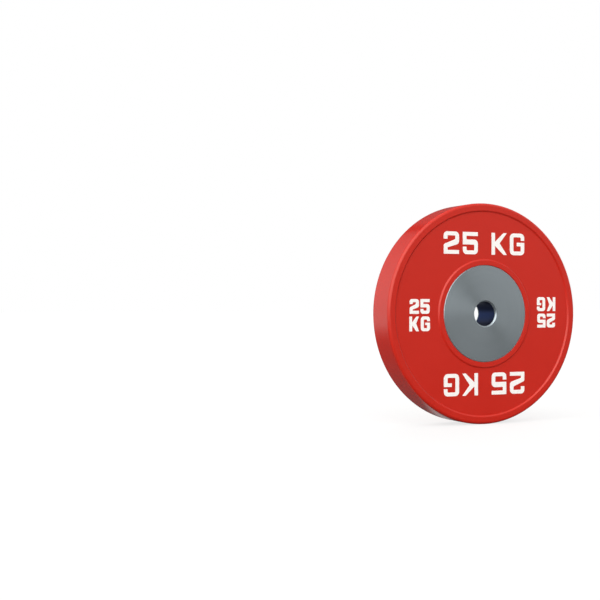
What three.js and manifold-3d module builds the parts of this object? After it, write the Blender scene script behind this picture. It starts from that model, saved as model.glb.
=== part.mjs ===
// Competition bumper plate, 25 kg: a moulded rubber tyre on a bolted steel hub.
// Lengths are millimetres. The bore runs along Y, the front face looks towards -Y and Z is up.
// The origin is the centre of the bore, halfway through the plate.
import * as THREE from 'three';
import { mergeVertices } from 'three/addons/utils/BufferGeometryUtils.js';
import Module from 'manifold-3d';

const wasm = await Module();
wasm.setup();

// Overall sizes
const plateRadius = 225;
const plateThickness = 67;
const boreRadius = 25.2;

// Tyre, alike on both faces: a rim band and a hub lip stand above a recessed panel, and the step
// down to the panel slopes inwards by stepRun
const treadFillet = 5.5;
const rimBandWidth = 15;
const panelDepth = 2.5;
const stepRun = 2.6;
const stepBevel = 0.8;
const lipWidth = 9.6;
const lipBevel = 0.7;

// Hub discs, one on each face, a hair below the rubber
const discRadius = 98.6;
const discThickness = 8;
const discInset = 0.25;
const discBevel = 0.7;
const mouthChamfer = 2.3;

// Core, moulded into the tyre: the discs overhang its barrel, and its flange reaches out into the
// rubber, with anchorLand of steel left on both sides of each anchor hole
const discOverhang = 8.6;
const flangeOverhang = 42;
const flangeThickness = 14;
const flangeBevel = 2.5;
const flangeRootFillet = 5;
const anchorCount = 12;
const anchorLand = 9;

// Sleeve that lines the bore and stands into both discs by its spigots
const sleeveWall = 5.8;
const sleeveSpigot = 3;
const sleeveBevel = 0.5;

// Screws, from the rear disc through the core into the front disc, whose face stays whole
const screwCount = 8;
const screwRadius = 4;
const screwHeadRadius = 8;
const screwHeadLand = 0.5;
const screwHeadSink = 0.25;
const screwTipBevel = 0.8;
const screwEdgeDistance = 12;
const screwHoleClearance = 0.5;
const frontThreadCover = 1.8;
const socketRadius = 2.9;
const socketDepth = 3.6;

// Trim weights, in pockets of the core under the rear disc
const trimCount = 8;
const trimRadius = 10;
const trimThickness = 9;
const trimBevel = 0.8;

// Clearances and cutting
const fitGap = 0.3;
const overrun = 1;

// Facets; the tyre's lowest one is the flat that the plate stands on
const turnSides = 48;
const screwSides = 12;
const anchorSides = 16;
const trimSides = 12;
const socketSides = 6;
const curveDivisions = 2;

// Places worked out from the sizes above
const halfThickness = plateThickness / 2;
const discFace = halfThickness - discInset;
const discBack = discFace - discThickness;
const seatRadius = discRadius + fitGap;
const lipRadius = seatRadius + lipWidth;
const rimBandRadius = plateRadius - rimBandWidth;
const panelFace = halfThickness - panelDepth;
const barrelRadius = discRadius - discOverhang;
const flangeRadius = barrelRadius + flangeOverhang;
const flangeFace = flangeThickness / 2;
const anchorRadius = flangeOverhang / 2 - anchorLand;
const anchorCircle = (barrelRadius + flangeRadius) / 2;
const sleeveRadius = boreRadius + sleeveWall;
const sleeveEnd = discBack + sleeveSpigot;
const screwCircle = barrelRadius - screwEdgeDistance;
const screwHoleRadius = screwRadius + screwHoleClearance;
const screwHeadTop = discFace - screwHeadSink;
const threadFloor = -(discFace - frontThreadCover);
const trimCircle = (sleeveRadius + screwCircle) / 2;
const trimFloor = discBack - fitGap - trimThickness;

// A polygon whose flats, not its corners, lie at the true radius
function cornerScale(sides) {
  return 1 / Math.cos(Math.PI / sides);
}

// An outline from the axis back to the axis, turned about Y, with a flat on each main direction
function turned(outline, sides) {
  const points = outline.map((p) => new THREE.Vector2(p.x * cornerScale(sides), p.y));
  return new THREE.LatheGeometry(points, sides, Math.PI / sides, Math.PI * 2);
}

// A ring: an outline that closes on itself away from the axis
function turnedRing(outline) {
  const points = THREE.ShapeUtils.area(outline) < 0 ? outline.slice().reverse() : outline.slice();
  points.push(points[0]);
  return turned(points, turnSides);
}

// A plain round bar along Y from one height to another
function bar(radius, low, high, sides) {
  const height = high - low;
  const size = radius * cornerScale(sides);
  const geometry = new THREE.CylinderGeometry(size, size, height, sides, 1, false, Math.PI / sides);
  return geometry.translate(0, (low + high) / 2, 0);
}

// A cone along Y that flares with its height, for a countersink
function cone(lowRadius, highRadius, low, high, sides) {
  const scale = cornerScale(sides);
  const geometry = new THREE.CylinderGeometry(
    highRadius * scale, lowRadius * scale, high - low, sides, 1, false, Math.PI / sides);
  return geometry.translate(0, (low + high) / 2, 0);
}

// Mesh to solid, for joining and cutting
function solid(geometry) {
  const bare = geometry.clone();
  bare.deleteAttribute('normal');
  bare.deleteAttribute('uv');
  const merged = mergeVertices(bare);
  return new wasm.Manifold(new wasm.Mesh({
    numProp: 3,
    vertProperties: new Float32Array(merged.attributes.position.array),
    triVerts: new Uint32Array(merged.index.array),
  }));
}

// Solid back to mesh
function surface(body) {
  const mesh = body.getMesh();
  const geometry = new THREE.BufferGeometry();
  geometry.setAttribute('position', new THREE.BufferAttribute(mesh.vertProperties, 3));
  geometry.setIndex(new THREE.BufferAttribute(mesh.triVerts, 1));
  geometry.computeVertexNormals();
  return geometry;
}

// Places round a circle about the bore, the first one a given angle from +X
function ringPlaces(count, radius, firstAngle) {
  const places = [];
  for (let i = 0; i < count; i += 1) {
    const angle = firstAngle + (i * Math.PI * 2) / count;
    places.push(new THREE.Vector3(radius * Math.cos(angle), 0, radius * Math.sin(angle)));
  }
  return places;
}

// The same tool shape cut out of a body at several places
function cutAt(body, geometry, places) {
  let result = body;
  for (const place of places) {
    result = result.subtract(solid(geometry.clone().translate(place.x, place.y, place.z)));
  }
  return result;
}

// The second half of an outline that is alike on both sides of the middle plane
function mirrored(half) {
  const other = half.map((p) => new THREE.Vector2(p.x, -p.y)).reverse();
  return [...half, ...other];
}

// A point a given distance away from a corner, on the way to another point
function besideCorner(corner, towards, distance) {
  return towards.clone().sub(corner).setLength(distance).add(corner);
}

// A corner taken off by a flat that starts and ends a given distance away from it
function bevelCorner(path, before, corner, after, distance) {
  const start = besideCorner(corner, before, distance);
  const end = besideCorner(corner, after, distance);
  path.lineTo(start.x, start.y);
  path.lineTo(end.x, end.y);
}

// A corner eased by a curve that starts and ends a given distance away from it
function easeCorner(path, before, corner, after, distance) {
  const start = besideCorner(corner, before, distance);
  const end = besideCorner(corner, after, distance);
  path.lineTo(start.x, start.y);
  path.quadraticCurveTo(corner.x, corner.y, end.x, end.y);
}

const screwPlaces = ringPlaces(screwCount, screwCircle, Math.PI / screwCount);
const trimPlaces = ringPlaces(trimCount, trimCircle, 0);
const anchorPlaces = ringPlaces(anchorCount, anchorCircle, 0);

// Finishes
const rubber = { color: 0xc53229, roughness: 0.42, metalness: 0 };
const turnedSteel = { color: 0x9aa0a3, roughness: 0.38, metalness: 1 };
const rawSteel = { color: 0x6e6f70, roughness: 0.6, metalness: 1 };
const sleeveSteel = { color: 0xb4b8ba, roughness: 0.25, metalness: 1 };
const blackenedSteel = { color: 0x2b2c2e, roughness: 0.45, metalness: 1 };
const trimSteel = { color: 0x83868a, roughness: 0.5, metalness: 1 };

const plate = new THREE.Group();

function addPiece(name, geometry, finish) {
  const mesh = new THREE.Mesh(geometry, new THREE.MeshStandardMaterial(finish));
  mesh.name = name;
  plate.add(mesh);
  return mesh;
}

// Tyre outline: tread fillet, rim band, sloped step, panel, sloped step, hub lip, disc seat
function tyreOutline() {
  const rimEdge = new THREE.Vector2(rimBandRadius, halfThickness);
  const rimFoot = new THREE.Vector2(rimBandRadius - stepRun, panelFace);
  const lipFoot = new THREE.Vector2(lipRadius + stepRun, panelFace);
  const lipEdge = new THREE.Vector2(lipRadius, halfThickness);
  const seatEdge = new THREE.Vector2(seatRadius, halfThickness);
  const treadEdge = new THREE.Vector2(plateRadius - treadFillet, halfThickness);
  const path = new THREE.Path();
  path.moveTo(plateRadius, halfThickness - treadFillet);
  path.absarc(plateRadius - treadFillet, halfThickness - treadFillet, treadFillet, 0, Math.PI / 2);
  bevelCorner(path, treadEdge, rimEdge, rimFoot, stepBevel);
  bevelCorner(path, rimEdge, rimFoot, lipFoot, stepBevel);
  bevelCorner(path, rimFoot, lipFoot, lipEdge, stepBevel);
  bevelCorner(path, lipFoot, lipEdge, seatEdge, stepBevel);
  path.lineTo(seatRadius + lipBevel, halfThickness);
  path.lineTo(seatRadius, halfThickness - lipBevel);
  path.lineTo(seatRadius, discBack);
  path.lineTo(barrelRadius + fitGap, discBack);
  return mirrored(path.getPoints(curveDivisions));
}

// Core outline, made larger all round by a gap for the space that it takes in the tyre
function coreOutline(gap) {
  const barrel = barrelRadius + gap;
  const flange = flangeRadius + gap;
  const face = flangeFace + gap;
  const root = new THREE.Vector2(barrel, face);
  const edge = new THREE.Vector2(flange, face);
  const path = new THREE.Path();
  path.moveTo(sleeveRadius + fitGap, discBack);
  path.lineTo(barrel, discBack);
  easeCorner(path, new THREE.Vector2(barrel, discBack), root, edge, flangeRootFillet);
  bevelCorner(path, root, edge, new THREE.Vector2(flange, 0), flangeBevel);
  return mirrored(path.getPoints(curveDivisions));
}

// Rubber tyre: closes round the core, and runs through the anchor holes of its flange
function makeTyre() {
  const coreSpace = solid(turnedRing(coreOutline(fitGap)));
  const plugReach = flangeFace + fitGap + overrun;
  const plug = bar(anchorRadius - fitGap, -plugReach, plugReach, anchorSides);
  let tyre = solid(turnedRing(tyreOutline())).subtract(coreSpace);
  for (const place of anchorPlaces) {
    tyre = tyre.add(solid(plug.clone().translate(place.x, place.y, place.z)));
  }
  return surface(tyre);
}

// Steel core: barrel and flange, bored for the sleeve, the screws, the trim weights and the rubber
function makeCore() {
  const anchorHole = bar(anchorRadius, -flangeFace - overrun, flangeFace + overrun, anchorSides);
  const screwHole = bar(screwHoleRadius, -discBack - overrun, discBack + overrun, screwSides);
  const trimPocket = bar(trimRadius + fitGap, trimFloor, discBack + overrun, trimSides);
  let core = solid(turnedRing(coreOutline(0)));
  core = cutAt(core, anchorHole, anchorPlaces);
  core = cutAt(core, screwHole, screwPlaces);
  core = cutAt(core, trimPocket, trimPlaces);
  return surface(core);
}

// Hub disc outline on the rear side: bevelled edge, chamfered bore mouth and sleeve counterbore
function discOutline() {
  const spigotFloor = sleeveEnd + fitGap;
  return [
    new THREE.Vector2(discRadius, discBack),
    new THREE.Vector2(discRadius, discFace - discBevel),
    new THREE.Vector2(discRadius - discBevel, discFace),
    new THREE.Vector2(boreRadius + mouthChamfer, discFace),
    new THREE.Vector2(boreRadius, discFace - mouthChamfer),
    new THREE.Vector2(boreRadius, spigotFloor),
    new THREE.Vector2(sleeveRadius + fitGap, spigotFloor),
    new THREE.Vector2(sleeveRadius + fitGap, discBack),
  ];
}

// Rear hub disc: clearance holes and countersinks for the screws
function makeRearDisc() {
  const sinkTop = discFace + overrun;
  const sinkRadius = screwHeadRadius + fitGap;
  const sinkStart = screwHeadTop - screwHeadLand;
  const sinkDepth = sinkRadius - screwHoleRadius;
  const hole = bar(screwHoleRadius, discBack - overrun, sinkTop, screwSides);
  const land = bar(sinkRadius, sinkStart, sinkTop, screwSides);
  const sink = cone(screwHoleRadius, sinkRadius, sinkStart - sinkDepth, sinkStart, screwSides);
  let disc = solid(turnedRing(discOutline()));
  disc = cutAt(disc, hole, screwPlaces);
  disc = cutAt(disc, land, screwPlaces);
  disc = cutAt(disc, sink, screwPlaces);
  return surface(disc);
}

// Front hub disc: a clean face, with blind threaded holes from behind
function makeFrontDisc() {
  const front = discOutline().map((p) => new THREE.Vector2(p.x, -p.y));
  const thread = bar(screwRadius + fitGap, threadFloor, -discBack + overrun, screwSides);
  return surface(cutAt(solid(turnedRing(front)), thread, screwPlaces));
}

// Sleeve: a plain ring that stands into the counterbores of both discs
function makeSleeve() {
  return turnedRing(mirrored([
    new THREE.Vector2(boreRadius, sleeveEnd),
    new THREE.Vector2(sleeveRadius - sleeveBevel, sleeveEnd),
    new THREE.Vector2(sleeveRadius, sleeveEnd - sleeveBevel),
  ]));
}

// Countersunk screw with a hexagon socket, its threads left plain
function makeScrew() {
  const coneStart = screwHeadTop - screwHeadLand;
  const tip = threadFloor + fitGap;
  const body = turned([
    new THREE.Vector2(0, tip),
    new THREE.Vector2(screwRadius - screwTipBevel, tip),
    new THREE.Vector2(screwRadius, tip + screwTipBevel),
    new THREE.Vector2(screwRadius, coneStart - (screwHeadRadius - screwRadius)),
    new THREE.Vector2(screwHeadRadius, coneStart),
    new THREE.Vector2(screwHeadRadius, screwHeadTop),
    new THREE.Vector2(0, screwHeadTop),
  ], screwSides);
  const socket = bar(socketRadius, screwHeadTop - socketDepth, screwHeadTop + overrun, socketSides);
  return surface(solid(body).subtract(solid(socket)));
}

// Trim weight: a small bevelled slug
function makeTrimWeight() {
  const top = trimFloor + trimThickness;
  return turned([
    new THREE.Vector2(0, trimFloor),
    new THREE.Vector2(trimRadius - trimBevel, trimFloor),
    new THREE.Vector2(trimRadius, trimFloor + trimBevel),
    new THREE.Vector2(trimRadius, top - trimBevel),
    new THREE.Vector2(trimRadius - trimBevel, top),
    new THREE.Vector2(0, top),
  ], trimSides);
}

addPiece('rubber_body', makeTyre(), rubber);
addPiece('hub_core', makeCore(), rawSteel);
addPiece('bore_sleeve', makeSleeve(), sleeveSteel);
addPiece('front_hub_disc', makeFrontDisc(), turnedSteel);
addPiece('rear_hub_disc', makeRearDisc(), turnedSteel);

const screwShape = makeScrew();
screwPlaces.forEach((place, i) => {
  addPiece(`hub_screw_${i + 1}`, screwShape, blackenedSteel).position.copy(place);
});

const trimShape = makeTrimWeight();
trimPlaces.forEach((place, i) => {
  addPiece(`trim_weight_${i + 1}`, trimShape, trimSteel).position.copy(place);
});

export default plate;
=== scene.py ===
"""Looks of a 25 kg competition bumper plate: a moulded rubber tyre on a bolted steel hub.

Everything is in metres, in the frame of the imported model: the bore runs along Y, the front face
looks towards -Y, Z is up and the plate stands on its rim.
"""

import math

import bpy
import numpy as np
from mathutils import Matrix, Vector


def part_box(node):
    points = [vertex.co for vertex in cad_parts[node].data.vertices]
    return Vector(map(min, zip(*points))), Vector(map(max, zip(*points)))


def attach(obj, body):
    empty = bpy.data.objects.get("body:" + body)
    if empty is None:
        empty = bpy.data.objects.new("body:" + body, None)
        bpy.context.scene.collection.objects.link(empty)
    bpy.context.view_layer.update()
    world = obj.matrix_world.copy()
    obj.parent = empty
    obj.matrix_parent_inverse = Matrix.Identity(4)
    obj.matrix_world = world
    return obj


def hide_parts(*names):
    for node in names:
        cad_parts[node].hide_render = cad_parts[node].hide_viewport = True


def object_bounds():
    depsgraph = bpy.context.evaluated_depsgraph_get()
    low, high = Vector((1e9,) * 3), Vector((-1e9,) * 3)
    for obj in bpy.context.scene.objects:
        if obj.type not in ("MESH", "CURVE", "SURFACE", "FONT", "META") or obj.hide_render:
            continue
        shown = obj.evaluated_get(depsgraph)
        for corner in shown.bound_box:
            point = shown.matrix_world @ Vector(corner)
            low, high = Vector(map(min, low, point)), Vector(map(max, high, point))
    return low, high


bl_info = {
    "name": "Bumper Plate",
    "version": (1, 0, 0),
    "blender": (4, 5, 0),
    "location": "3D View > Sidebar > Bumper Plate",
    "description": "Builds the visible pieces of a rubber bumper plate round its packed model",
    "category": "Object",
}

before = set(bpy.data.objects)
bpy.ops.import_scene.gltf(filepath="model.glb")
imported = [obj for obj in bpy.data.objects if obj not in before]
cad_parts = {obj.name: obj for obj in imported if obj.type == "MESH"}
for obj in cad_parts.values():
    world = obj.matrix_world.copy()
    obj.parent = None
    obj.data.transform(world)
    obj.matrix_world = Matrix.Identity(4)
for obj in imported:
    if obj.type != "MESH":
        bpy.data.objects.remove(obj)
CAD_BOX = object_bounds()

MM = 0.001
ROOT = "root"
SCREWS = [f"hub_screw_{i}" for i in range(1, 9)]
TRIM_WEIGHTS = [f"trim_weight_{i}" for i in range(1, 9)]
ANCHOR_HOLES = 12

# How finely round forms are cut: columns round them, rows on a thread, steps in an eased corner.
RING_COLUMNS = 360
SLEEVE_COLUMNS = 256
SCREW_COLUMNS = 72
BAR_COLUMNS = 48
THREAD_ROWS = 8
TYRE_STEPS, STEEL_STEPS, MARK_STEPS = 8, 4, 5

# Beside an eased corner, how far off the points stand that keep the flats flat.
TYRE_SUPPORT, STEEL_SUPPORT = 0.35 * MM, 0.2 * MM

# How far the tool of a Boolean runs past the surface that it meets.
OVERRUN = 1 * MM

# The figures: the height in mm for which their ease radii are drawn, the height of a bar as a share
# of the width of an upright stroke, and the ease radii that return on them.
DRAWN_HEIGHT = 31.7
BAR_SHARE = 0.89
CRISP, INSIDE = 0.4, 1.2


def measured(node):
    """A CAD node's outer radius about its own axis along Y, and its lowest and highest Y."""
    low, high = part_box(node)
    return (high.x - low.x) / 2, low.y, high.y


def centre_of(node):
    """The X and Z of a CAD node's axis along Y."""
    low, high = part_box(node)
    return np.array([(low.x + high.x) / 2, (low.z + high.z) / 2])


def linear(code):
    """An sRGB hex colour as linear red, green and blue.

    Each channel c is c / 12.92 up to 0.04045, and ((c + 0.055) / 1.055) to the power 2.4 above it.
    """
    channels = np.array([int(code[i:i + 2], 16) for i in (1, 3, 5)]) / 255
    low = channels / 12.92
    high = ((channels + 0.055) / 1.055) ** 2.4
    return tuple(float(c) for c in np.where(channels <= 0.04045, low, high))


TYRE_RADIUS, _, TYRE_FACE = measured("rubber_body")
DISC_RADIUS, DISC_BACK, DISC_FACE = measured("rear_hub_disc")
SLEEVE_RADIUS, _, SLEEVE_END = measured("bore_sleeve")
SCREW_HEAD_RADIUS, SCREW_TIP, SCREW_TOP = measured("hub_screw_1")


def length(name, default, description):
    """A length property, kept in metres and shown in the scene's unit."""
    return bpy.props.FloatProperty(
        name=name, description=description, default=default, min=0.0,
        precision=4, subtype="DISTANCE", unit="LENGTH")


def colour(name, code, description):
    """A colour property whose default is an sRGB hex value."""
    return bpy.props.FloatVectorProperty(
        name=name, description=description, default=linear(code), size=3,
        min=0.0, max=1.0, subtype="COLOR")


class PlateSizes(bpy.types.PropertyGroup):
    """Sizes of the plate's visible forms."""

    tyre_radius: length("Tyre radius", TYRE_RADIUS, "Outer radius of the rubber")
    tyre_face: length("Tyre face", TYRE_FACE, "From the middle plane to the rim band and hub lip")
    tread_fillet: length("Tread fillet", 5.5 * MM, "Radius between the tread and the rim band")
    rim_band: length("Rim band", 15 * MM, "Width of the raised band round the panel")
    panel_depth: length("Panel depth", 2.5 * MM, "How far the panel lies below the rim band")
    step_run: length("Step run", 2.6 * MM, "Width of the slope down to the panel")
    step_ease: length("Step ease", 1.1 * MM, "Radius on the edges of the slopes")
    lip_width: length("Lip width", 9.6 * MM, "Width of the raised lip round the hub disc")
    lip_ease: length("Lip ease", 0.7 * MM, "Radius on the lip's edge beside the hub disc")
    fit_gap: length("Fit gap", 0.3 * MM, "Gap between neighbouring pieces")
    barrel_radius: length("Barrel radius", 90 * MM, "Radius of the core inside the rubber")
    flange_radius: length("Flange radius", 132 * MM, "Radius of the core's flange")
    flange_thickness: length("Flange thickness", 14 * MM, "Thickness of the core's flange")
    flange_bevel: length("Flange bevel", 2.5 * MM, "Bevel on the flange's edge")
    flange_root: length("Flange root", 5 * MM, "Ease between barrel and flange")
    anchor_circle: length("Anchor circle", 111 * MM, "Radius of the circle of anchor holes")
    anchor_radius: length("Anchor radius", 12 * MM, "Radius of an anchor hole in the flange")
    disc_radius: length("Disc radius", DISC_RADIUS, "Radius of the steel hub discs")
    disc_bevel: length("Disc bevel", 1.1 * MM, "Bevel on the discs' outer edge")
    bore_radius: length("Bore radius", 25.2 * MM, "Radius of the bore")
    mouth_chamfer: length("Mouth chamfer", 2.3 * MM, "Chamfer at both mouths of the bore")
    sleeve_bevel: length("Sleeve bevel", 0.5 * MM, "Bevel on the sleeve's ends")
    screw_radius: length("Screw radius", 4 * MM, "Radius over the screws' threads")
    screw_land: length("Screw land", 0.5 * MM, "Straight edge of a screw head above its cone")
    screw_hole: length("Screw hole", 4.5 * MM, "Radius of a clearance hole in the rear disc")
    socket_radius: length("Socket radius", 2.9 * MM, "From the middle of a socket to its flats")
    socket_depth: length("Socket depth", 3.6 * MM, "Depth of the hexagon sockets")
    thread_pitch: length("Thread pitch", 1.25 * MM, "Distance from one thread to the next")
    thread_length: length("Thread length", 20 * MM, "Length of the screws' threaded part")
    thread_cover: length("Thread cover", 1.8 * MM, "Steel left in front of the blind threads")
    mark_height: length("Mark height", 29.2 * MM, "Height of the figures beside the hub")
    mark_width: length("Mark width", 21.1 * MM, "Width of a figure beside the hub")
    mark_gap: length("Mark gap", 3.4 * MM, "Gap between figures beside the hub")
    mark_leading: length("Mark leading", 5.3 * MM, "Gap between the lines beside the hub")
    mark_stroke: length("Mark stroke", 6.9 * MM, "Width of the upright strokes beside the hub")
    mark_reach: length("Mark reach", 153.3 * MM, "From the bore to the marks beside the hub")
    mark_drop: length("Mark drop", 2.3 * MM, "How far a pair of lines sits off the bore's height")
    arch_height: length("Arch height", 45 * MM, "Height of the figures above the hub")
    arch_width: length("Arch width", 36 * MM, "Width of a figure above the hub")
    arch_gap: length("Arch gap", 9 * MM, "Gap between figures above the hub")
    arch_stroke: length("Arch stroke", 8.8 * MM, "Width of the upright strokes above the hub")
    arch_reach: length("Arch reach", 143 * MM, "From the bore to the marks above the hub")
    paint_lift: length("Paint lift", 0.25 * MM, "Thickness of the raised paint")


class PlateColours(bpy.types.PropertyGroup):
    """Colours of the plate's finishes and of the stage."""

    rubber: colour("Rubber", "#C51B09", "Red moulded rubber")
    paint: colour("Paint", "#FFFBF6", "White of the marks")
    disc_steel: colour("Disc steel", "#B8C2C7", "Turned face of the hub discs")
    # The bore's deep navy is painted shade and a painted reflection of blue surroundings, not a
    # blued finish.
    bore_steel: colour("Bore steel", "#0E234C", "Blued wall of the bore")
    core_steel: colour("Core steel", "#6B6A69", "Forged core inside the rubber")
    trim_steel: colour("Trim steel", "#86898C", "Sawn trim weights")
    screw_steel: colour("Screw steel", "#2A2B2D", "Blackened screws")
    floor: colour("Floor", "#818180", "Plain pale floor, before its lift")


def eased_outline(corners, steps, support):
    """A closed outline whose corners are eased, as an array of points.

    corners has rows of first coordinate, second coordinate and ease radius. Each corner becomes a
    circular arc that touches both of its sides: with the angle p between the sides, the arc starts
    radius / tan(p / 2) from the corner, its centre lies on the bisector radius / sin(p / 2) from
    the corner, and it turns through 180 degrees less p, in equal steps. One more point on each
    side, the support's length before and after the arc, keeps the flats flat when they are shaded.
    A corner with no ease stays one point.
    """
    straight, same_place = 0.999999, 1e-7
    table = np.asarray(corners, float)
    corner, radius = table[:, :2], table[:, 2:]
    before = np.roll(corner, 1, axis=0) - corner
    after = np.roll(corner, -1, axis=0) - corner
    before /= np.linalg.norm(before, axis=1, keepdims=True)
    after /= np.linalg.norm(after, axis=1, keepdims=True)
    cosine = np.clip((before * after).sum(axis=1, keepdims=True), -straight, straight)
    half = np.arccos(cosine) / 2
    bisector = before + after
    bisector /= np.linalg.norm(bisector, axis=1, keepdims=True)
    reach = radius / np.tan(half)
    centre = corner + bisector * radius / np.sin(half)
    eased = radius > 0
    safe = np.where(eased, radius, 1.0)
    start = np.where(eased, (corner + before * reach - centre) / safe, bisector)
    end = np.where(eased, (corner + after * reach - centre) / safe, bisector)
    turn = math.pi - 2 * half
    share = np.linspace(0, 1, steps + 1)[None, :, None]
    arc = (np.sin((1 - share) * turn[:, None]) * start[:, None]
           + np.sin(share * turn[:, None]) * end[:, None]) / np.sin(turn[:, None])
    arc = centre[:, None] + arc * radius[:, None]
    spare = np.where(eased, reach + support, 0.0)
    first = (corner + before * spare)[:, None]
    last = (corner + after * spare)[:, None]
    points = np.concatenate([first, arc, last], axis=1).reshape(-1, 2)
    apart = np.linalg.norm(points - np.roll(points, 1, axis=0), axis=1) > same_place
    return points[apart]


def both_sides(half):
    """A table of corners on the rear side, followed by the same corners mirrored to the front."""
    front = np.asarray(half, float)[::-1] * [1, -1, 1]
    return np.concatenate([half, front])


def grid_faces(rows, columns, close_rows, close_columns):
    """Quads over a grid of points, numbered row by row, closed across either pair of ends."""
    row = np.arange(rows if close_rows else rows - 1)[:, None]
    column = np.arange(columns if close_columns else columns - 1)[None, :]
    next_row, next_column = (row + 1) % rows, (column + 1) % columns
    quads = np.stack(np.broadcast_arrays(
        row * columns + column, row * columns + next_column,
        next_row * columns + next_column, next_row * columns + column), axis=-1)
    return quads.reshape(-1, 4)


def turned_ring(outline, steps):
    """A closed outline turned about the bore.

    A point at radius r and height h goes to (r cos a, h, r sin a) for a in equal steps.
    """
    angle = np.arange(steps)[:, None] * 2 * math.pi / steps
    radius, height = outline[None, :, 0], outline[None, :, 1]
    points = np.stack(np.broadcast_arrays(
        radius * np.cos(angle), height, radius * np.sin(angle)), axis=-1)
    return points.reshape(-1, 3), [grid_faces(steps, len(outline), True, True)]


def capped_rings(radius, height, centre, low_tip, high_tip):
    """Rings about an axis along Y, closed by a point at each end.

    radius and height are arrays of rows along the axis by columns round it: the point of row i and
    column k is (radius cos a, height, radius sin a) beside the centre, a being the kth equal step
    round the axis. low_tip and high_tip are the heights of the end points.
    """
    rows, columns = radius.shape
    angle = np.arange(columns)[None, :] * 2 * math.pi / columns
    points = np.stack([radius * np.cos(angle), height, radius * np.sin(angle)], axis=-1)
    tips = np.array([[0, low_tip, 0], [0, high_tip, 0]])
    points = np.concatenate([points.reshape(-1, 3), tips]) + [centre[0], 0, centre[1]]
    column = np.arange(columns)
    following = (column + 1) % columns
    last = (rows - 1) * columns
    low_fan = np.stack([np.full(columns, rows * columns), following, column], axis=-1)
    high_fan = np.stack([np.full(columns, rows * columns + 1), last + column, last + following],
                        axis=-1)
    return points, [grid_faces(rows, columns, False, True), low_fan, high_fan]


def many(shapes):
    """Several shapes, each points and faces, as one: the later ones' numbers are moved up."""
    points, faces, base = [], [], 0
    for shape_points, shape_faces in shapes:
        points.append(shape_points)
        faces += [block + base for block in shape_faces]
        base += len(shape_points)
    return np.concatenate(points), faces


def new_mesh(name, shape):
    """A mesh from points and blocks of faces, with its faces pointing outwards.

    Six times the enclosed volume is the sum, over the faces split into triangles, of the first
    corner times the cross product of the other two. Where it is negative, all faces are reversed.
    """
    points, blocks = shape
    volume = 0.0
    for block in blocks:
        first = points[block[:, 0]]
        for k in range(1, block.shape[1] - 1):
            cross = np.cross(points[block[:, k]], points[block[:, k + 1]])
            volume += float((first * cross).sum())
    if volume < 0:
        blocks = [block[:, ::-1] for block in blocks]
    mesh = bpy.data.meshes.new(name)
    mesh.from_pydata(points.tolist(), [], [face for block in blocks for face in block.tolist()])
    mesh.validate()
    mesh.update()
    return mesh


def joined(body, tool, operation):
    """The body's mesh after a Boolean modifier has added the tool's mesh or taken it out."""
    name = body.name
    holder = bpy.data.objects.new(name + "_holder", body)
    other = bpy.data.objects.new(name + "_tool", tool)
    for item in (holder, other):
        bpy.context.scene.collection.objects.link(item)
    boolean = holder.modifiers.new("join", "BOOLEAN")
    boolean.operation = operation
    boolean.solver = "MANIFOLD"
    boolean.object = other
    evaluated = holder.evaluated_get(bpy.context.evaluated_depsgraph_get())
    result = bpy.data.meshes.new_from_object(evaluated)
    for item in (holder, other):
        bpy.data.objects.remove(item)
    result.name = name
    return result


def show(name, mesh, material, slot_name, *nodes, sharp=24):
    """Makes a mesh a piece of the plate, which rides on the root and may replace CAD nodes.

    It is shaded smooth, but for edges that turn by more than sharp degrees.
    """
    mesh.name = name
    mesh.shade_smooth()
    mesh.set_sharp_from_angle(angle=math.radians(sharp))
    mesh.materials.clear()
    mesh.materials.append(material)
    piece = bpy.data.objects.new(name, mesh)
    bpy.context.scene.collection.objects.link(piece)
    if nodes:
        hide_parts(*nodes)
    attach(piece, ROOT)
    return piece


def dress(nodes, material):
    """Gives CAD nodes a better material and leaves their shape alone."""
    for node in nodes:
        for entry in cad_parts[node].material_slots:
            entry.material = material


def add_node(tree, kind, inputs=None, **settings):
    """Adds a node. settings are its own properties, and inputs pairs a socket's name or number
    with a value, or with the output socket that feeds it."""
    node = tree.nodes.new(kind)
    for name, value in settings.items():
        setattr(node, name, value)
    for key, value in (inputs or {}).items():
        if isinstance(value, bpy.types.NodeSocket):
            tree.links.new(value, node.inputs[key])
        else:
            node.inputs[key].default_value = value
    return node


def new_material(name):
    """An empty node material, its node tree, and the Object coordinates of what wears it."""
    material = bpy.data.materials.new(name)
    material.use_nodes = True
    tree = material.node_tree
    tree.nodes.clear()
    return material, tree, add_node(tree, "ShaderNodeTexCoord").outputs["Object"]


def finished(material, surface):
    """The material, once a shader's output socket has been led to its surface."""
    add_node(material.node_tree, "ShaderNodeOutputMaterial", {"Surface": surface})
    return material


def opaque(rgb):
    """A colour with full alpha, as colour sockets take it."""
    return (*rgb, 1.0)


def scaled(rgb, factor):
    """A colour made lighter or darker, with full alpha."""
    return (*[min(1.0, c * factor) for c in rgb], 1.0)


def from_bore(tree, place):
    """Sockets with the part of a place that lies across the bore, and with its length."""
    across = add_node(tree, "ShaderNodeVectorMath", {0: place, 1: (1.0, 0.0, 1.0)},
                      operation="MULTIPLY").outputs["Vector"]
    radius = add_node(tree, "ShaderNodeVectorMath", {0: across}, operation="LENGTH")
    return across, radius.outputs["Value"]


def tool_rings(tree, along, pitch, detail):
    """A socket with noise that changes along one coordinate alone, over about pitch metres."""
    turns = add_node(tree, "ShaderNodeMath", {0: along, 1: 1 / pitch}, operation="MULTIPLY")
    noise = add_node(tree, "ShaderNodeTexNoise",
                     {"W": turns.outputs["Value"], "Scale": 1.0, "Detail": detail},
                     noise_dimensions="1D")
    return noise.outputs["Fac"]


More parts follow.
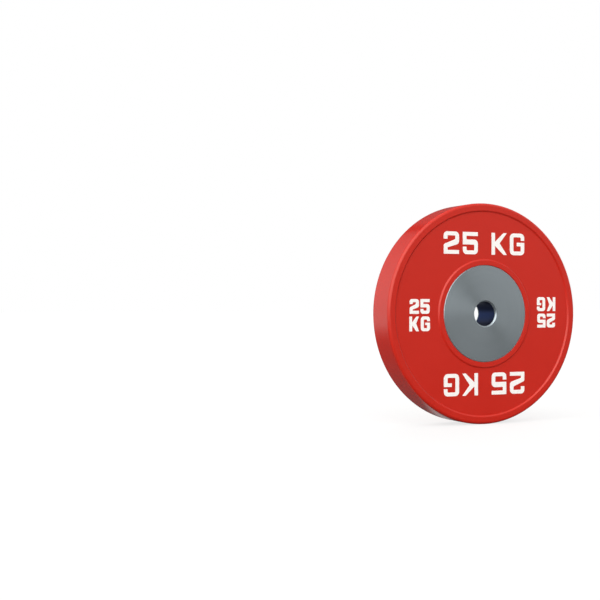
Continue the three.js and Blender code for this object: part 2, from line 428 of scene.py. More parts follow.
def moulded_rubber(name, rgb):
    """Dense virgin rubber, coloured through and pressed in a mould with a polished tread ring.

    To the eye it is an even, saturated colour with a soft, slightly warm satin sheen. The tread is
    glossier than the faces, so it mirrors what is round the plate. IOR 1.52 is typical for rubber.
    The mould's grain is about 0.5 mm, too fine to show, so it is drawn at 1.6 mm; flow in the
    mould gives it a faint cloudiness about 60 mm wide.
    """
    cloud_width, grain_width, grain_depth = 60 * MM, 1.6 * MM, 0.02 * MM
    tread_start, tread_roughness = TYRE_RADIUS - 0.3 * MM, 0.2
    warm_sheen = (1.0, 0.94, 0.84)
    material, tree, place = new_material(name)
    cloud = add_node(tree, "ShaderNodeTexNoise",
                     {"Vector": place, "Scale": 1 / cloud_width, "Detail": 2.0, "Roughness": 0.5})
    grain = add_node(tree, "ShaderNodeTexNoise",
                     {"Vector": place, "Scale": 1 / grain_width, "Detail": 3.0, "Roughness": 0.6})
    tint = add_node(tree, "ShaderNodeMix",
                    {"Factor": cloud.outputs["Fac"], "A": scaled(rgb, 0.96),
                     "B": scaled(rgb, 1.04)}, data_type="RGBA")
    gloss = add_node(tree, "ShaderNodeMapRange",
                     {"Value": cloud.outputs["Fac"], "From Min": 0.3, "From Max": 0.7,
                      "To Min": 0.32, "To Max": 0.36})
    radius = from_bore(tree, place)[1]
    tread = add_node(tree, "ShaderNodeMath", {0: radius, 1: tread_start},
                     operation="GREATER_THAN")
    sheen = add_node(tree, "ShaderNodeMix",
                     {"Factor": tread.outputs["Value"], "A": gloss.outputs["Result"],
                      "B": tread_roughness}, data_type="FLOAT")
    relief = add_node(tree, "ShaderNodeBump",
                      {"Height": grain.outputs["Fac"], "Distance": grain_depth, "Strength": 0.5})
    shader = add_node(tree, "ShaderNodeBsdfPrincipled",
                      {"Base Color": tint.outputs["Result"], "IOR": 1.52,
                       "Roughness": sheen.outputs["Result"],
                       "Specular Tint": opaque(warm_sheen),
                       "Normal": relief.outputs["Normal"]})
    return finished(material, shader.outputs["BSDF"])


def mark_paint(name, rgb):
    """White two-part paint, filled into shallow moulded figures.

    To the eye it is a clean, slightly warm white, duller than the rubber round it. IOR 1.5 is
    typical for a paint's binder. Its orange peel is about 1.5 mm wide.
    """
    peel_width, peel_depth = 1.5 * MM, 0.02 * MM
    material, tree, place = new_material(name)
    peel = add_node(tree, "ShaderNodeTexNoise",
                    {"Vector": place, "Scale": 1 / peel_width, "Detail": 1.0, "Roughness": 0.4})
    tint = add_node(tree, "ShaderNodeMix",
                    {"Factor": peel.outputs["Fac"], "A": scaled(rgb, 0.97), "B": opaque(rgb)},
                    data_type="RGBA")
    relief = add_node(tree, "ShaderNodeBump",
                      {"Height": peel.outputs["Fac"], "Distance": peel_depth, "Strength": 0.4})
    shader = add_node(tree, "ShaderNodeBsdfPrincipled",
                      {"Base Color": tint.outputs["Result"], "IOR": 1.5, "Roughness": 0.45,
                       "Normal": relief.outputs["Normal"]})
    return finished(material, shader.outputs["BSDF"])


def turned_steel(name, rgb, roughness):
    """Carbon steel, faced on a lathe and left bare.

    To the eye it is a mid grey whose sheen is drawn out from the bore, in sectors, because the
    cutting tool leaves rings. The rings are about 0.2 mm apart, too fine to show, so they are
    drawn 0.9 mm apart, in fainter bands about 11 mm wide. The long way of the sheen lies along the
    radius. The sides of edges and holes, which the tool only chamfered, are rougher and duller.
    """
    ring_pitch, band_width, ring_depth = 0.9 * MM, 11 * MM, 0.01 * MM
    side_roughness = roughness + 0.3
    material, tree, place = new_material(name)
    across, radius = from_bore(tree, place)
    outward = add_node(tree, "ShaderNodeVectorMath", {0: across}, operation="NORMALIZE")
    rings = tool_rings(tree, radius, ring_pitch, 2.0)
    broad = tool_rings(tree, radius, band_width, 1.0)
    normal = add_node(tree, "ShaderNodeNewGeometry").outputs["True Normal"]
    facing = add_node(tree, "ShaderNodeSeparateXYZ", {"Vector": normal})
    flatness = add_node(tree, "ShaderNodeMath", {0: facing.outputs["Y"]}, operation="ABSOLUTE")
    grooves = add_node(tree, "ShaderNodeMix", {"Factor": 0.4, "A": rings, "B": broad},
                       data_type="FLOAT")
    tint = add_node(tree, "ShaderNodeMix",
                    {"Factor": grooves.outputs["Result"], "A": scaled(rgb, 0.90),
                     "B": scaled(rgb, 1.10)}, data_type="RGBA")
    gloss = add_node(tree, "ShaderNodeMapRange",
                     {"Value": flatness.outputs["Value"], "From Min": 0.75, "From Max": 0.95,
                      "To Min": side_roughness, "To Max": roughness})
    relief = add_node(tree, "ShaderNodeBump",
                      {"Height": rings, "Distance": ring_depth, "Strength": 0.6})
    shader = add_node(tree, "ShaderNodeBsdfPrincipled",
                      {"Base Color": tint.outputs["Result"], "Metallic": 1.0,
                       "Roughness": gloss.outputs["Result"], "Anisotropic": 0.8,
                       "Tangent": outward.outputs["Vector"],
                       "Normal": relief.outputs["Normal"]})
    return finished(material, shader.outputs["BSDF"])


def bored_steel(name, rgb, roughness, pitch):
    """Steel worked along an axis parallel to Y: bored, rolled, forged or sawn.

    To the eye it is a plain metal with fine rings across its length, pitch metres apart, and with
    faint spots about 6 mm wide. The real rings are about 0.1 mm apart, so they are drawn coarser.
    The colour gives the finish, nearly black for black oxide; the bore's deep blue is painted shade
    and a painted reflection of blue surroundings.
    """
    spot_width, ring_depth = 6 * MM, 0.01 * MM
    material, tree, place = new_material(name)
    along = add_node(tree, "ShaderNodeSeparateXYZ", {"Vector": place})
    rings = tool_rings(tree, along.outputs["Y"], pitch, 2.0)
    spots = add_node(tree, "ShaderNodeTexNoise",
                     {"Vector": place, "Scale": 1 / spot_width, "Detail": 3.0})
    tint = add_node(tree, "ShaderNodeMix",
                    {"Factor": spots.outputs["Fac"], "A": scaled(rgb, 0.88),
                     "B": scaled(rgb, 1.12)}, data_type="RGBA")
    gloss = add_node(tree, "ShaderNodeMapRange",
                     {"Value": rings, "From Min": 0.3, "From Max": 0.7,
                      "To Min": roughness - 0.04, "To Max": roughness + 0.05})
    relief = add_node(tree, "ShaderNodeBump",
                      {"Height": rings, "Distance": ring_depth, "Strength": 0.5})
    shader = add_node(tree, "ShaderNodeBsdfPrincipled",
                      {"Base Color": tint.outputs["Result"], "Metallic": 1.0,
                       "Roughness": gloss.outputs["Result"],
                       "Normal": relief.outputs["Normal"]})
    return finished(material, shader.outputs["BSDF"])


class PLATE_OT_make_tyre(bpy.types.Operator):
    """Moulds the rubber tyre round the space for its core"""

    bl_idname = "plate.make_tyre"
    bl_label = "Make Tyre"

    def execute(self, context):
        """The outline runs from the tread over the rim band, panel, hub lip and disc seat, and
        then round the core's space; bars of rubber cross that space at the anchor holes."""
        size = context.scene.plate_sizes
        radius, face = size.tyre_radius, size.tyre_face
        panel = face - size.panel_depth
        band = radius - size.rim_band
        seat = size.disc_radius + size.fit_gap
        lip = seat + size.lip_width
        barrel = size.barrel_radius + size.fit_gap
        flange = size.flange_radius + size.fit_gap
        web = size.flange_thickness / 2 + size.fit_gap
        half = [
            (radius, face, size.tread_fillet),
            (band, face, size.step_ease),
            (band - size.step_run, panel, size.step_ease),
            (lip + size.step_run, panel, size.step_ease),
            (lip, face, size.step_ease),
            (seat, face, size.lip_ease),
            (seat, DISC_BACK, 0),
            (barrel, DISC_BACK, 0),
            (barrel, web, size.flange_root),
            (flange - size.flange_bevel, web, 0),
            (flange, web - size.flange_bevel, 0),
        ]
        outline = eased_outline(both_sides(half), TYRE_STEPS, TYRE_SUPPORT)
        body = new_mesh("tyre", turned_ring(outline, RING_COLUMNS))
        places = np.arange(ANCHOR_HOLES) * 2 * math.pi / ANCHOR_HOLES
        reach = web + OVERRUN
        ring = np.full((2, BAR_COLUMNS), size.anchor_radius - size.fit_gap)
        height = np.array([[-reach], [reach]]) * np.ones((2, BAR_COLUMNS))
        bars = [capped_rings(ring, height,
                             size.anchor_circle * np.array([math.cos(a), math.sin(a)]),
                             -reach, reach) for a in places]
        body = joined(body, new_mesh("tyre_bars", many(bars)), "UNION")
        rubber = moulded_rubber("moulded_rubber", context.scene.plate_colours.rubber)
        show("tyre", body, rubber, "tyre_rubber", "rubber_body")
        return {"FINISHED"}


def screw_hole(centre, rows):
    """A turned cutter along Y for one screw: rows of radius and height, closed at both ends."""
    table = np.asarray(rows, float)
    shape = np.ones((1, SCREW_COLUMNS))
    return capped_rings(table[:, :1] * shape, table[:, 1:] * shape, centre,
                        table[0, 1], table[-1, 1])


class PLATE_OT_make_discs(bpy.types.Operator):
    """Turns the two steel hub discs and cuts their screw holes"""

    bl_idname = "plate.make_discs"
    bl_label = "Make Hub Discs"

    def execute(self, context):
        """One outline serves both discs: bevelled edge, chamfered bore mouth and a counterbore
        for the sleeve. The rear disc gets clearance holes and countersinks, the front disc blind
        holes from behind."""
        size = context.scene.plate_sizes
        floor = SLEEVE_END + size.fit_gap
        seat = SLEEVE_RADIUS + size.fit_gap
        rim, bore = size.disc_radius, size.bore_radius
        ease, bevel_ease, mouth_ease = 0.2 * MM, 0.3 * MM, 0.15 * MM
        corners = np.array([
            (rim, DISC_BACK, ease),
            (rim, DISC_FACE - size.disc_bevel, bevel_ease),
            (rim - size.disc_bevel, DISC_FACE, bevel_ease),
            (bore + size.mouth_chamfer, DISC_FACE, mouth_ease),
            (bore, DISC_FACE - size.mouth_chamfer, ease),
            (bore, floor, 0),
            (seat, floor, 0),
            (seat, DISC_BACK, ease),
        ])
        hue = context.scene.plate_colours
        steel = turned_steel("turned_steel", hue.disc_steel, roughness=0.23)
        centres = [centre_of(name) for name in SCREWS]
        head = SCREW_HEAD_RADIUS + size.fit_gap
        land = SCREW_TOP - size.screw_land
        edge = 0.25 * MM
        sink = [screw_hole(centre, [
            (size.screw_hole, DISC_BACK - OVERRUN),
            (size.screw_hole, land - (head - size.screw_hole)),
            (head, land),
            (head, DISC_FACE - edge),
            (head + edge + OVERRUN, DISC_FACE + OVERRUN),
        ]) for centre in centres]
        outline = eased_outline(corners, STEEL_STEPS, STEEL_SUPPORT)
        rear = new_mesh("rear_disc", turned_ring(outline, RING_COLUMNS))
        rear = joined(rear, new_mesh("countersinks", many(sink)), "DIFFERENCE")
        show("rear_disc", rear, steel, "disc_steel", "rear_hub_disc")
        blind = DISC_FACE - size.thread_cover
        drill = size.screw_radius + size.fit_gap
        thread = [screw_hole(centre, [
            (drill, -blind),
            (drill, -DISC_BACK - edge),
            (drill + edge + OVERRUN, -DISC_BACK + OVERRUN),
        ]) for centre in centres]
        front = new_mesh("front_disc", turned_ring(outline * [1, -1], RING_COLUMNS))
        front = joined(front, new_mesh("blind_holes", many(thread)), "DIFFERENCE")
        show("front_disc", front, steel, "disc_steel", "front_hub_disc")
        return {"FINISHED"}


class PLATE_OT_make_sleeve(bpy.types.Operator):
    """Turns the hard steel sleeve that lines the bore"""

    bl_idname = "plate.make_sleeve"
    bl_label = "Make Bore Sleeve"

    def execute(self, context):
        """A ring with a square bore wall and bevelled outer ends."""
        size = context.scene.plate_sizes
        bevel, ease = size.sleeve_bevel, 0.1 * MM
        half = [
            (size.bore_radius, SLEEVE_END, 0),
            (SLEEVE_RADIUS - bevel, SLEEVE_END, ease),
            (SLEEVE_RADIUS, SLEEVE_END - bevel, ease),
        ]
        outline = eased_outline(both_sides(half), STEEL_STEPS, STEEL_SUPPORT)
        mesh = new_mesh("sleeve", turned_ring(outline, SLEEVE_COLUMNS))
        hue = context.scene.plate_colours
        # The bore's navy colour is painted shade and a painted reflection of blue surroundings,
        # given as the steel's own colour.
        steel = bored_steel("bore_steel_painted_shade_and_reflection", hue.bore_steel, roughness=0.34, pitch=0.6 * MM)
        show("sleeve", mesh, steel, "sleeve_steel", "bore_sleeve")
        return {"FINISHED"}


class PLATE_OT_make_screws(bpy.types.Operator):
    """Makes the countersunk screws with their threads and hexagon sockets"""

    bl_idname = "plate.make_screws"
    bl_label = "Make Hub Screws"

    def execute(self, context):
        """Rings along the screw's axis, each with its own radius round it.

        On the thread the radius at height y and angle a is the full radius less the depth times
        twice the distance of y / pitch - a / 360 degrees from the nearest whole number, fading
        out over one pitch at both ends. The depth is 0.61 of the pitch, as on a metric screw. In
        the socket the radius is the flats' distance over the cosine of the angle from the nearest
        flat's middle, which draws a hexagon.
        """
        size = context.scene.plate_sizes
        angle = np.arange(SCREW_COLUMNS)[None, :] * 2 * math.pi / SCREW_COLUMNS
        shape = np.ones((1, SCREW_COLUMNS))
        full, tip = size.screw_radius, SCREW_TIP
        bevel, runout, root_ease, root_step = 0.8 * MM, 0.5 * MM, 0.3 * MM, 0.05 * MM
        edge, socket_land, chamfer = 0.15 * MM, 1.2 * MM, 0.25 * MM
        floor_ease, drill_depth, floor_share = 0.1 * MM, 0.6 * MM, 0.98
        depth = 0.61 * size.thread_pitch
        start, end = tip + bevel, tip + bevel + size.thread_length
        rows = int(round(size.thread_length / size.thread_pitch * THREAD_ROWS)) + 1
        along = np.linspace(start, end, rows)[:, None]
        phase = along / size.thread_pitch - angle / (2 * math.pi)
        groove = 2 * np.abs(phase - np.round(phase))
        fade = np.clip(np.minimum(along - start, end - along) / size.thread_pitch, 0, 1)
        thread = full - depth * groove * fade
        top, head = SCREW_TOP, SCREW_HEAD_RADIUS
        cone = top - size.screw_land
        flat = size.socket_radius / np.cos((angle + math.pi / 6) % (math.pi / 3) - math.pi / 6)
        foot = cone - (head - full)
        floor = top - size.socket_depth
        plain = np.array([
            (full, end + runout),
            (full, foot - root_ease),
            (full + root_step, foot),
            (head - edge, cone - edge),
            (head, cone),
            (head, top - edge),
            (head - edge, top),
            (size.socket_radius + socket_land, top),
        ])
        radius = np.concatenate([
            (full - bevel) * shape, thread, plain[:, :1] * shape,
            flat + chamfer, flat, flat, floor_share * flat], axis=0)
        height = np.concatenate([
            tip * shape, along * shape, plain[:, 1:] * shape,
            top * shape, (top - chamfer) * shape, (floor + floor_ease) * shape, floor * shape],
            axis=0)
        hue = context.scene.plate_colours
        steel = bored_steel("black_oxide_steel", hue.screw_steel, roughness=0.38, pitch=0.8 * MM)
        for node in SCREWS:
            screw = capped_rings(radius, height, centre_of(node), tip, floor - drill_depth)
            name = "socket_screw_" + node.rsplit("_", 1)[1]
            show(name, new_mesh(name, screw), steel, "screw_steel", node)
        return {"FINISHED"}


class PLATE_OT_finish_inner_steel(bpy.types.Operator):
    """Gives the core and the trim weights their finish"""

    bl_idname = "plate.finish_inner_steel"
    bl_label = "Finish Inner Steel"

    def execute(self, context):
        """The CAD shapes stay, because the rubber and the discs close them in."""
        hue = context.scene.plate_colours
        forged = bored_steel("forged_steel", hue.core_steel, roughness=0.6, pitch=1.2 * MM)
        sawn = bored_steel("sawn_steel", hue.trim_steel, roughness=0.5, pitch=0.7 * MM)
        dress(["hub_core"], forged)
        dress(TRIM_WEIGHTS, sawn)
        return {"FINISHED"}


def figure_two(w, h, v, b):
    """Corners of the figure 2 in a box w by h, with upright strokes v wide and bars b high.

    Each row has the two coordinates and the ease radius. A number before w or h is the share of
    the box at which that corner stands.
    """
    return [
        (0, 0.665 * h, 0.5), (0, h, 5.5), (w, h, 6), (w, 0.46 * h, 5), (v, 0.285 * h, 0.8),
        (v, b, CRISP), (w, b, CRISP), (w, 0, CRISP), (0, 0, CRISP), (0, 0.43 * h, 3.5),
        (w - v, 0.66 * h, 1.5), (w - v, h - b, INSIDE), (v, h - b, INSIDE), (v, 0.665 * h, CRISP)]


def figure_five(w, h, v, b):
    """Corners of the figure 5, in the same terms."""
    belly = 6
    return [
        (0, 0.435 * h, CRISP), (0, h, CRISP), (w, h, CRISP), (w, h - b, CRISP),
        (v, h - b, CRISP), (v, 0.665 * h, CRISP), (w, 0.665 * h, belly), (w, 0, belly),
        (0, 0, belly), (0, 0.335 * h, CRISP), (v, 0.335 * h, CRISP), (v, b, INSIDE),
        (w - v, b, INSIDE), (w - v, 0.435 * h, INSIDE)]


def letter_k(w, h, v, b):
    """Corners of the letter K, in the same terms. It has no bars, so b is left alone.

    Its stem, arms and waist are shares of the stroke, so that it stays open when it is wide.
    """
    right, stem = 1.04 * w, 0.95 * v
    inner, waist = right - 0.92 * v, stem + 1.3 * v
    notch = 0.2
    return [
        (0, 0, CRISP), (0, h, CRISP), (stem, h, CRISP), (stem, 0.59 * h, notch),
        (inner, h, CRISP), (right, h, CRISP), (waist, 0.53 * h, 0.6), (right, 0, CRISP),
        (inner, 0, CRISP), (stem, 0.41 * h, notch), (stem, 0, CRISP)]


def letter_g(w, h, v, b):
    """Corners of the letter G, in the same terms."""
    outer = 6.5
    return [
        (w, 0.67 * h, CRISP), (w, h, outer), (0, h, outer), (0, 0, outer), (w, 0, outer),
        (w, 0.58 * h, CRISP), (0.48 * w, 0.58 * h, CRISP), (0.48 * w, 0.415 * h, CRISP),
        (w - v, 0.415 * h, CRISP), (w - v, b, INSIDE), (v, b, INSIDE), (v, h - b, INSIDE),
        (w - v, h - b, INSIDE), (w - v, 0.67 * h, CRISP)]


FIGURES = {"2": figure_two, "5": figure_five, "K": letter_k, "G": letter_g}


def set_line(text, width, height, stroke, gap, space):
    """The figures of one line, side by side and centred, as tables of corners.

    A blank in the text is as wide as space. Ease radii grow with the height.
    """
    bar = stroke * BAR_SHARE
    steps = [space if c == " " else width for c in text]
    total = sum(steps) + gap * (len(text) - 1)
    left, line = -total / 2, []
    for character, step in zip(text, steps):
        if character != " ":
            table = np.array(FIGURES[character](width, height, stroke, bar), float)
            table[:, 2] *= height / DRAWN_HEIGHT
            line.append(table + [left, -height / 2, 0])
        left += step + gap
    return line


def paint_mesh(name, figures, lift):
    """Flat figures filled and raised by twice the lift, as a mesh in their own plane.

    Each outline becomes a closed flat spline; the curve's fill and extrusion make the solid.
    """
    curve = bpy.data.curves.new(name, "CURVE")
    curve.dimensions = "2D"
    curve.fill_mode = "BOTH"
    curve.extrude = lift
    for table in figures:
        outline = eased_outline(table, MARK_STEPS, 0)
        spline = curve.splines.new("POLY")
        spline.points.add(len(outline) - 1)
        row = np.zeros((len(outline), 4))
        row[:, :2], row[:, 3] = outline, 1
        spline.points.foreach_set("co", row.ravel())
        spline.use_cyclic_u = True
    holder = bpy.data.objects.new(name, curve)
    bpy.context.scene.collection.objects.link(holder)
    evaluated = holder.evaluated_get(bpy.context.evaluated_depsgraph_get())
    mesh = bpy.data.meshes.new_from_object(evaluated)
    bpy.data.objects.remove(holder)
    bpy.data.curves.remove(curve)
    return mesh


def laid_on_face(mesh, turn, centre, face, rear):
    """Moves a flat mesh to a face of the plate, as whole arrays.

    In its plane the mesh is turned by an angle and moved to its centre. Its two coordinates then
    become X and Z, and its thickness points out of the face; on the rear face X is reversed too,
    which turns the mesh round the upright axis.
    """
    count = len(mesh.vertices)
    flat = np.zeros(count * 3)
    mesh.vertices.foreach_get("co", flat)
    flat = flat.reshape(-1, 3)
    c, s = math.cos(turn), math.sin(turn)
    across = c * flat[:, 0] - s * flat[:, 1] + centre[0]
    up = s * flat[:, 0] + c * flat[:, 1] + centre[1]
    side = -1 if rear else 1
    placed = np.stack([side * across, -side * (face + flat[:, 2]), up], axis=-1)
    mesh.vertices.foreach_set("co", placed.ravel())
    mesh.update()


class PLATE_OT_paint_marks(bpy.types.Operator):
    """Paints the plain weight figures on both faces"""

    bl_idname = "plate.paint_marks"
    bl_label = "Paint Marks"

    def execute(self, context):
        """Two lines beside the hub and one above it, and the same turned by half a turn."""
        size = context.scene.plate_sizes
        paint = mark_paint("white_paint", context.scene.plate_colours.paint)
        panel = size.tyre_face - size.panel_depth
        rise = (size.mark_height + size.mark_leading) / 2
        drop = size.mark_drop
        letter_gap, blank = 1.5 * size.mark_gap, 1.7 * size.arch_gap
        beside = []
        for text, shift, gap in (("25", rise, size.mark_gap), ("KG", -rise, letter_gap)):
            line = set_line(text, size.mark_width, size.mark_height, size.mark_stroke, gap, 0)
            beside += [table + [0, shift, 0] for table in line]
        above = set_line("25 KG", size.arch_width, size.arch_height, size.arch_stroke,
                         size.arch_gap, blank)
        for rear in (False, True):
            word = "rear" if rear else "front"
            for turn, end in ((0, "a"), (math.pi, "b")):
                sign = -1 if turn else 1
                for kind, figures, centre in (
                        ("side", beside, (-sign * size.mark_reach, -sign * drop)),
                        ("arch", above, (0, sign * size.arch_reach))):
                    name = f"mark_{kind}_{word}_{end}"
                    mesh = paint_mesh(name, figures, size.paint_lift)
                    laid_on_face(mesh, turn, centre, panel, rear)
                    show(name, mesh, paint, "tyre_rubber", sharp=40)
        return {"FINISHED"}


def aimed(obj, position, target):
    """Puts a camera or lamp at a position and points it at a target, with Z upwards."""
    obj.location = position
    obj.rotation_mode = "QUATERNION"
    direction = Vector(target) - Vector(position)
    obj.rotation_quaternion = direction.to_track_quat("-Z", "Y")
    bpy.context.scene.collection.objects.link(obj)
    return obj


def soft_sun(name, direction, strength, spread):
    """A sun lamp that shines from a direction, as wide in the sky as spread in degrees."""
    lamp = bpy.data.lights.new(name, "SUN")
    lamp.energy = strength
    lamp.angle = math.radians(spread)
    return aimed(bpy.data.objects.new(name, lamp), direction, (0, 0, 0))


class PLATE_OT_set_stage(bpy.types.Operator):
    """Sets the floor, the soft light, the white surroundings and the camera"""

    bl_idname = "plate.set_stage"
    bl_label = "Set Stage"

    def execute(self, context):
        """The floor is a flat square under the plate.

        The key light is a broad sun from the left front, a little above. A second one fills the
        rear side from the right; mirrors don't see it, so that it leaves no streak on the tread.
        The camera stands where the ellipses of the photograph's rim and hub disc put it: turned
        to the right by turn and up by rise, with a 62 mm lens.
        """
        scene = context.scene
        floor_level, reach = CAD_BOX[0].z, 30.0
        corners = np.array([(-1, -1), (1, -1), (1, 1), (-1, 1)]) * reach
        mesh = bpy.data.meshes.new("floor")
        mesh.from_pydata([(x, y, floor_level) for x, y in corners], [], [(0, 1, 2, 3)])
        mesh.materials.append(pale_floor("pale_floor", scene.plate_colours.floor))
        floor = bpy.data.objects.new("floor", mesh)
        scene.collection.objects.link(floor)
        white_surroundings(scene)
        soft_sun("key_sun", direction=(-0.70, -0.60, 0.40), strength=3.8, spread=100)
        fill = soft_sun("back_fill", direction=(0.6, 0.75, 0.28), strength=2.2, spread=90)
        fill.visible_glossy = False
        lens = bpy.data.cameras.new("camera")
        lens.sensor_width, lens.lens = 36.0, 62.48
        lens.clip_start, lens.clip_end = 0.05, 100.0
        position = Vector((-1.2128, -1.8119, 0.0188))
        turn, rise = math.radians(24.195), math.radians(0.246)
        forward = Vector((math.sin(turn) * math.cos(rise), math.cos(turn) * math.cos(rise),
                          math.sin(rise)))
        camera = aimed(bpy.data.objects.new("camera", lens), position, position + forward)
        scene.camera = camera
        scene.view_settings.view_transform = "Standard"
        return {"FINISHED"}


def pale_floor(name, rgb):
    """A matt paper sweep.

    To the eye it is an even white that takes a soft shadow. What the camera sees of it is lifted,
    so that it meets the white surroundings with no edge. Mirrors see it dimmed in front of the
    plate, as they see the surroundings there, and lifted in a strip from the plate's middle to
    just behind it, and again far behind. Between the two it stays dim, which keeps the polished
    tread's colour deep. The dimming is painted shade that only mirrors see: the paper is given a
    darker colour there, not less light.
    """
    tooth_width, lift_strength, dimmed = 3 * MM, 0.75, 0.6
    material, tree, place = new_material(name)
    tooth = add_node(tree, "ShaderNodeTexNoise", {"Vector": place, "Scale": 1 / tooth_width})
    tint = add_node(tree, "ShaderNodeMix",
                    {"Factor": tooth.outputs["Fac"], "A": scaled(rgb, 0.99), "B": opaque(rgb)},
                    data_type="RGBA")
    ray = add_node(tree, "ShaderNodeLightPath")
    parts = add_node(tree, "ShaderNodeSeparateXYZ", {"Vector": place})
    strip = add_node(tree, "ShaderNodeMapRange",
                     {"Value": parts.outputs["Y"], "From Min": 0.0, "From Max": 0.06})
    near = add_node(tree, "ShaderNodeMapRange",
                    {"Value": parts.outputs["Y"], "From Min": 0.045, "From Max": 0.065,
                     "To Min": 1.0, "To Max": 0.05})
    far = add_node(tree, "ShaderNodeMapRange",
                   {"Value": parts.outputs["Y"], "From Min": 0.6, "From Max": 1.6})
    open_floor = add_node(tree, "ShaderNodeMath",
                          {0: near.outputs["Result"], 1: far.outputs["Result"]},
                          operation="MAXIMUM")
    behind = add_node(tree, "ShaderNodeMath",
                      {0: strip.outputs["Result"], 1: open_floor.outputs["Value"]},
                      operation="MULTIPLY")
    mirrored = add_node(tree, "ShaderNodeMath",
                        {0: ray.outputs["Is Glossy Ray"], 1: behind.outputs["Value"]},
                        operation="MULTIPLY")
    before = add_node(tree, "ShaderNodeMath",
                      {0: ray.outputs["Is Glossy Ray"], 1: mirrored.outputs["Value"]},
                      operation="SUBTRACT")
    # Painted shade: in front of the plate and in the dim strip, mirrors see the paper darkened to
    # the dimmed share of its colour.
    shaded = add_node(tree, "ShaderNodeMix",
                      {"Factor": before.outputs["Value"], "A": tint.outputs["Result"],
                       "B": scaled(rgb, dimmed)}, data_type="RGBA")
    paper = add_node(tree, "ShaderNodeBsdfDiffuse", {"Color": shaded.outputs["Result"]})
    seen = add_node(tree, "ShaderNodeMath",
                    {0: ray.outputs["Is Camera Ray"], 1: mirrored.outputs["Value"]},
                    operation="MAXIMUM")
    lift = add_node(tree, "ShaderNodeMath", {0: seen.outputs["Value"], 1: lift_strength},
                    operation="MULTIPLY")
    glow = add_node(tree, "ShaderNodeEmission", {"Strength": lift.outputs["Value"]})
    both = add_node(tree, "ShaderNodeAddShader",
                    {0: paper.outputs["BSDF"], 1: glow.outputs["Emission"]})
    return finished(material, both.outputs["Shader"])


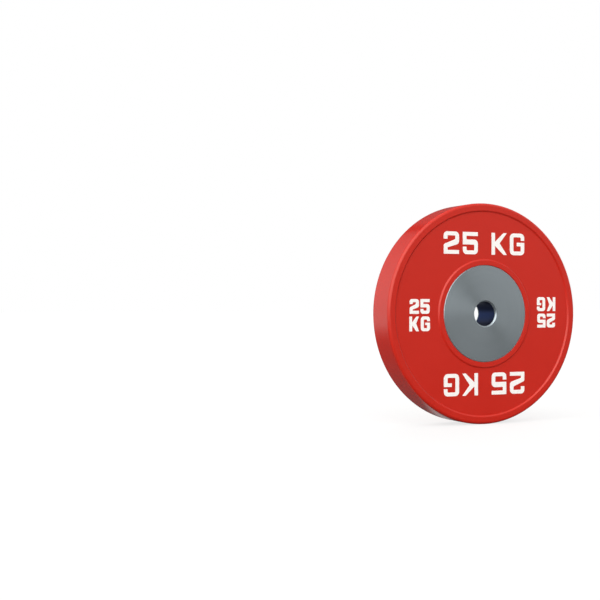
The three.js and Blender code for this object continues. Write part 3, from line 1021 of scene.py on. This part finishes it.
def white_surroundings(scene):
    """The world, as the white panels of a studio.

    The camera, and what it sees through a clear thing, find it plain white. Matt surfaces get an
    even light, a little brighter from the front. Mirrors see panels that are dimmer on the
    camera's side, with a dark seam, a thin circle of directions whose part along seam_axis is
    seam_place, and a dim round canopy about canopy_axis. The seam gives the turned steel its two
    dark wedges, and the canopy keeps the tread's colour deep.
    """
    canopy_axis = (0.45, 0.83, 0.33)
    seam_axis, seam_place = (0.766, 0.0, 0.643), 0.426
    world = bpy.data.worlds.new("studio")
    world.use_nodes = True
    tree = world.node_tree
    tree.nodes.clear()
    ray = add_node(tree, "ShaderNodeLightPath")
    direction = add_node(tree, "ShaderNodeTexCoord").outputs["Generated"]
    parts = add_node(tree, "ShaderNodeSeparateXYZ", {"Vector": direction})
    mirrored = add_node(tree, "ShaderNodeMapRange",
                        {"Value": parts.outputs["Y"], "From Min": -0.8, "From Max": 0.0,
                         "To Min": 0.74, "To Max": 1.0})
    matt = add_node(tree, "ShaderNodeMapRange",
                    {"Value": parts.outputs["Y"], "From Min": -0.8, "From Max": 0.8,
                     "To Min": 0.65, "To Max": 0.42})
    overhead = add_node(tree, "ShaderNodeVectorMath", {0: direction, 1: canopy_axis},
                        operation="DOT_PRODUCT")
    canopy = add_node(tree, "ShaderNodeMapRange",
                      {"Value": overhead.outputs["Value"], "From Min": 0.6, "From Max": 0.97,
                       "To Min": 1.0, "To Max": 0.15})
    across = add_node(tree, "ShaderNodeVectorMath", {0: direction, 1: seam_axis},
                      operation="DOT_PRODUCT")
    aside = add_node(tree, "ShaderNodeMath", {0: across.outputs["Value"], 1: seam_place},
                     operation="SUBTRACT")
    beside = add_node(tree, "ShaderNodeMath", {0: aside.outputs["Value"]},
                      operation="ABSOLUTE")
    seam = add_node(tree, "ShaderNodeMapRange",
                    {"Value": beside.outputs["Value"], "From Min": 0.01, "From Max": 0.045,
                     "To Min": 0.2, "To Max": 1.0}, interpolation_type="SMOOTHSTEP")
    seamed = add_node(tree, "ShaderNodeMath",
                      {0: mirrored.outputs["Result"], 1: seam.outputs["Result"]},
                      operation="MULTIPLY")
    panels = add_node(tree, "ShaderNodeMath",
                      {0: seamed.outputs["Value"], 1: canopy.outputs["Result"]},
                      operation="MULTIPLY")
    even = add_node(tree, "ShaderNodeMix",
                    {"Factor": ray.outputs["Is Glossy Ray"], "A": matt.outputs["Result"],
                     "B": panels.outputs["Value"]}, data_type="FLOAT")
    clear = add_node(tree, "ShaderNodeMath",
                     {0: ray.outputs["Is Camera Ray"], 1: ray.outputs["Is Transmission Ray"]},
                     operation="MAXIMUM")
    strength = add_node(tree, "ShaderNodeMix",
                        {"Factor": clear.outputs["Value"], "A": even.outputs["Result"],
                         "B": 1.0}, data_type="FLOAT")
    light = add_node(tree, "ShaderNodeBackground",
                     {"Color": opaque((1.0, 1.0, 1.0)), "Strength": strength.outputs["Result"]})
    add_node(tree, "ShaderNodeOutputWorld", {"Surface": light.outputs["Background"]})
    scene.world = world


class PLATE_PT_sidebar(bpy.types.Panel):
    """Lists the steps, sizes and colours of the plate"""

    bl_idname = "PLATE_PT_sidebar"
    bl_label = "Bumper Plate"
    bl_space_type = "VIEW_3D"
    bl_region_type = "UI"
    bl_category = "Bumper Plate"

    def draw(self, context):
        """One button for each step, then the properties."""
        for step in STEPS:
            self.layout.operator(step.bl_idname)
        for group in (context.scene.plate_sizes, context.scene.plate_colours):
            box = self.layout.box()
            for name in group.__annotations__:
                box.prop(group, name)


STEPS = [
    PLATE_OT_make_tyre,
    PLATE_OT_make_discs,
    PLATE_OT_make_sleeve,
    PLATE_OT_make_screws,
    PLATE_OT_finish_inner_steel,
    PLATE_OT_paint_marks,
    PLATE_OT_set_stage,
]
CLASSES = [PlateSizes, PlateColours, *STEPS, PLATE_PT_sidebar]


def register():
    """Registers the classes and hangs the two property groups on the scene."""
    for item in CLASSES:
        bpy.utils.register_class(item)
    bpy.types.Scene.plate_sizes = bpy.props.PointerProperty(type=PlateSizes)
    bpy.types.Scene.plate_colours = bpy.props.PointerProperty(type=PlateColours)


def unregister():
    """Takes back what register did."""
    del bpy.types.Scene.plate_colours
    del bpy.types.Scene.plate_sizes
    for item in reversed(CLASSES):
        bpy.utils.unregister_class(item)


def main():
    """Builds every piece in order."""
    register()
    bpy.ops.plate.make_tyre()
    bpy.ops.plate.make_discs()
    bpy.ops.plate.make_sleeve()
    bpy.ops.plate.make_screws()
    bpy.ops.plate.finish_inner_steel()
    bpy.ops.plate.paint_marks()
    bpy.ops.plate.set_stage()


if __name__ == "__main__":
    main()
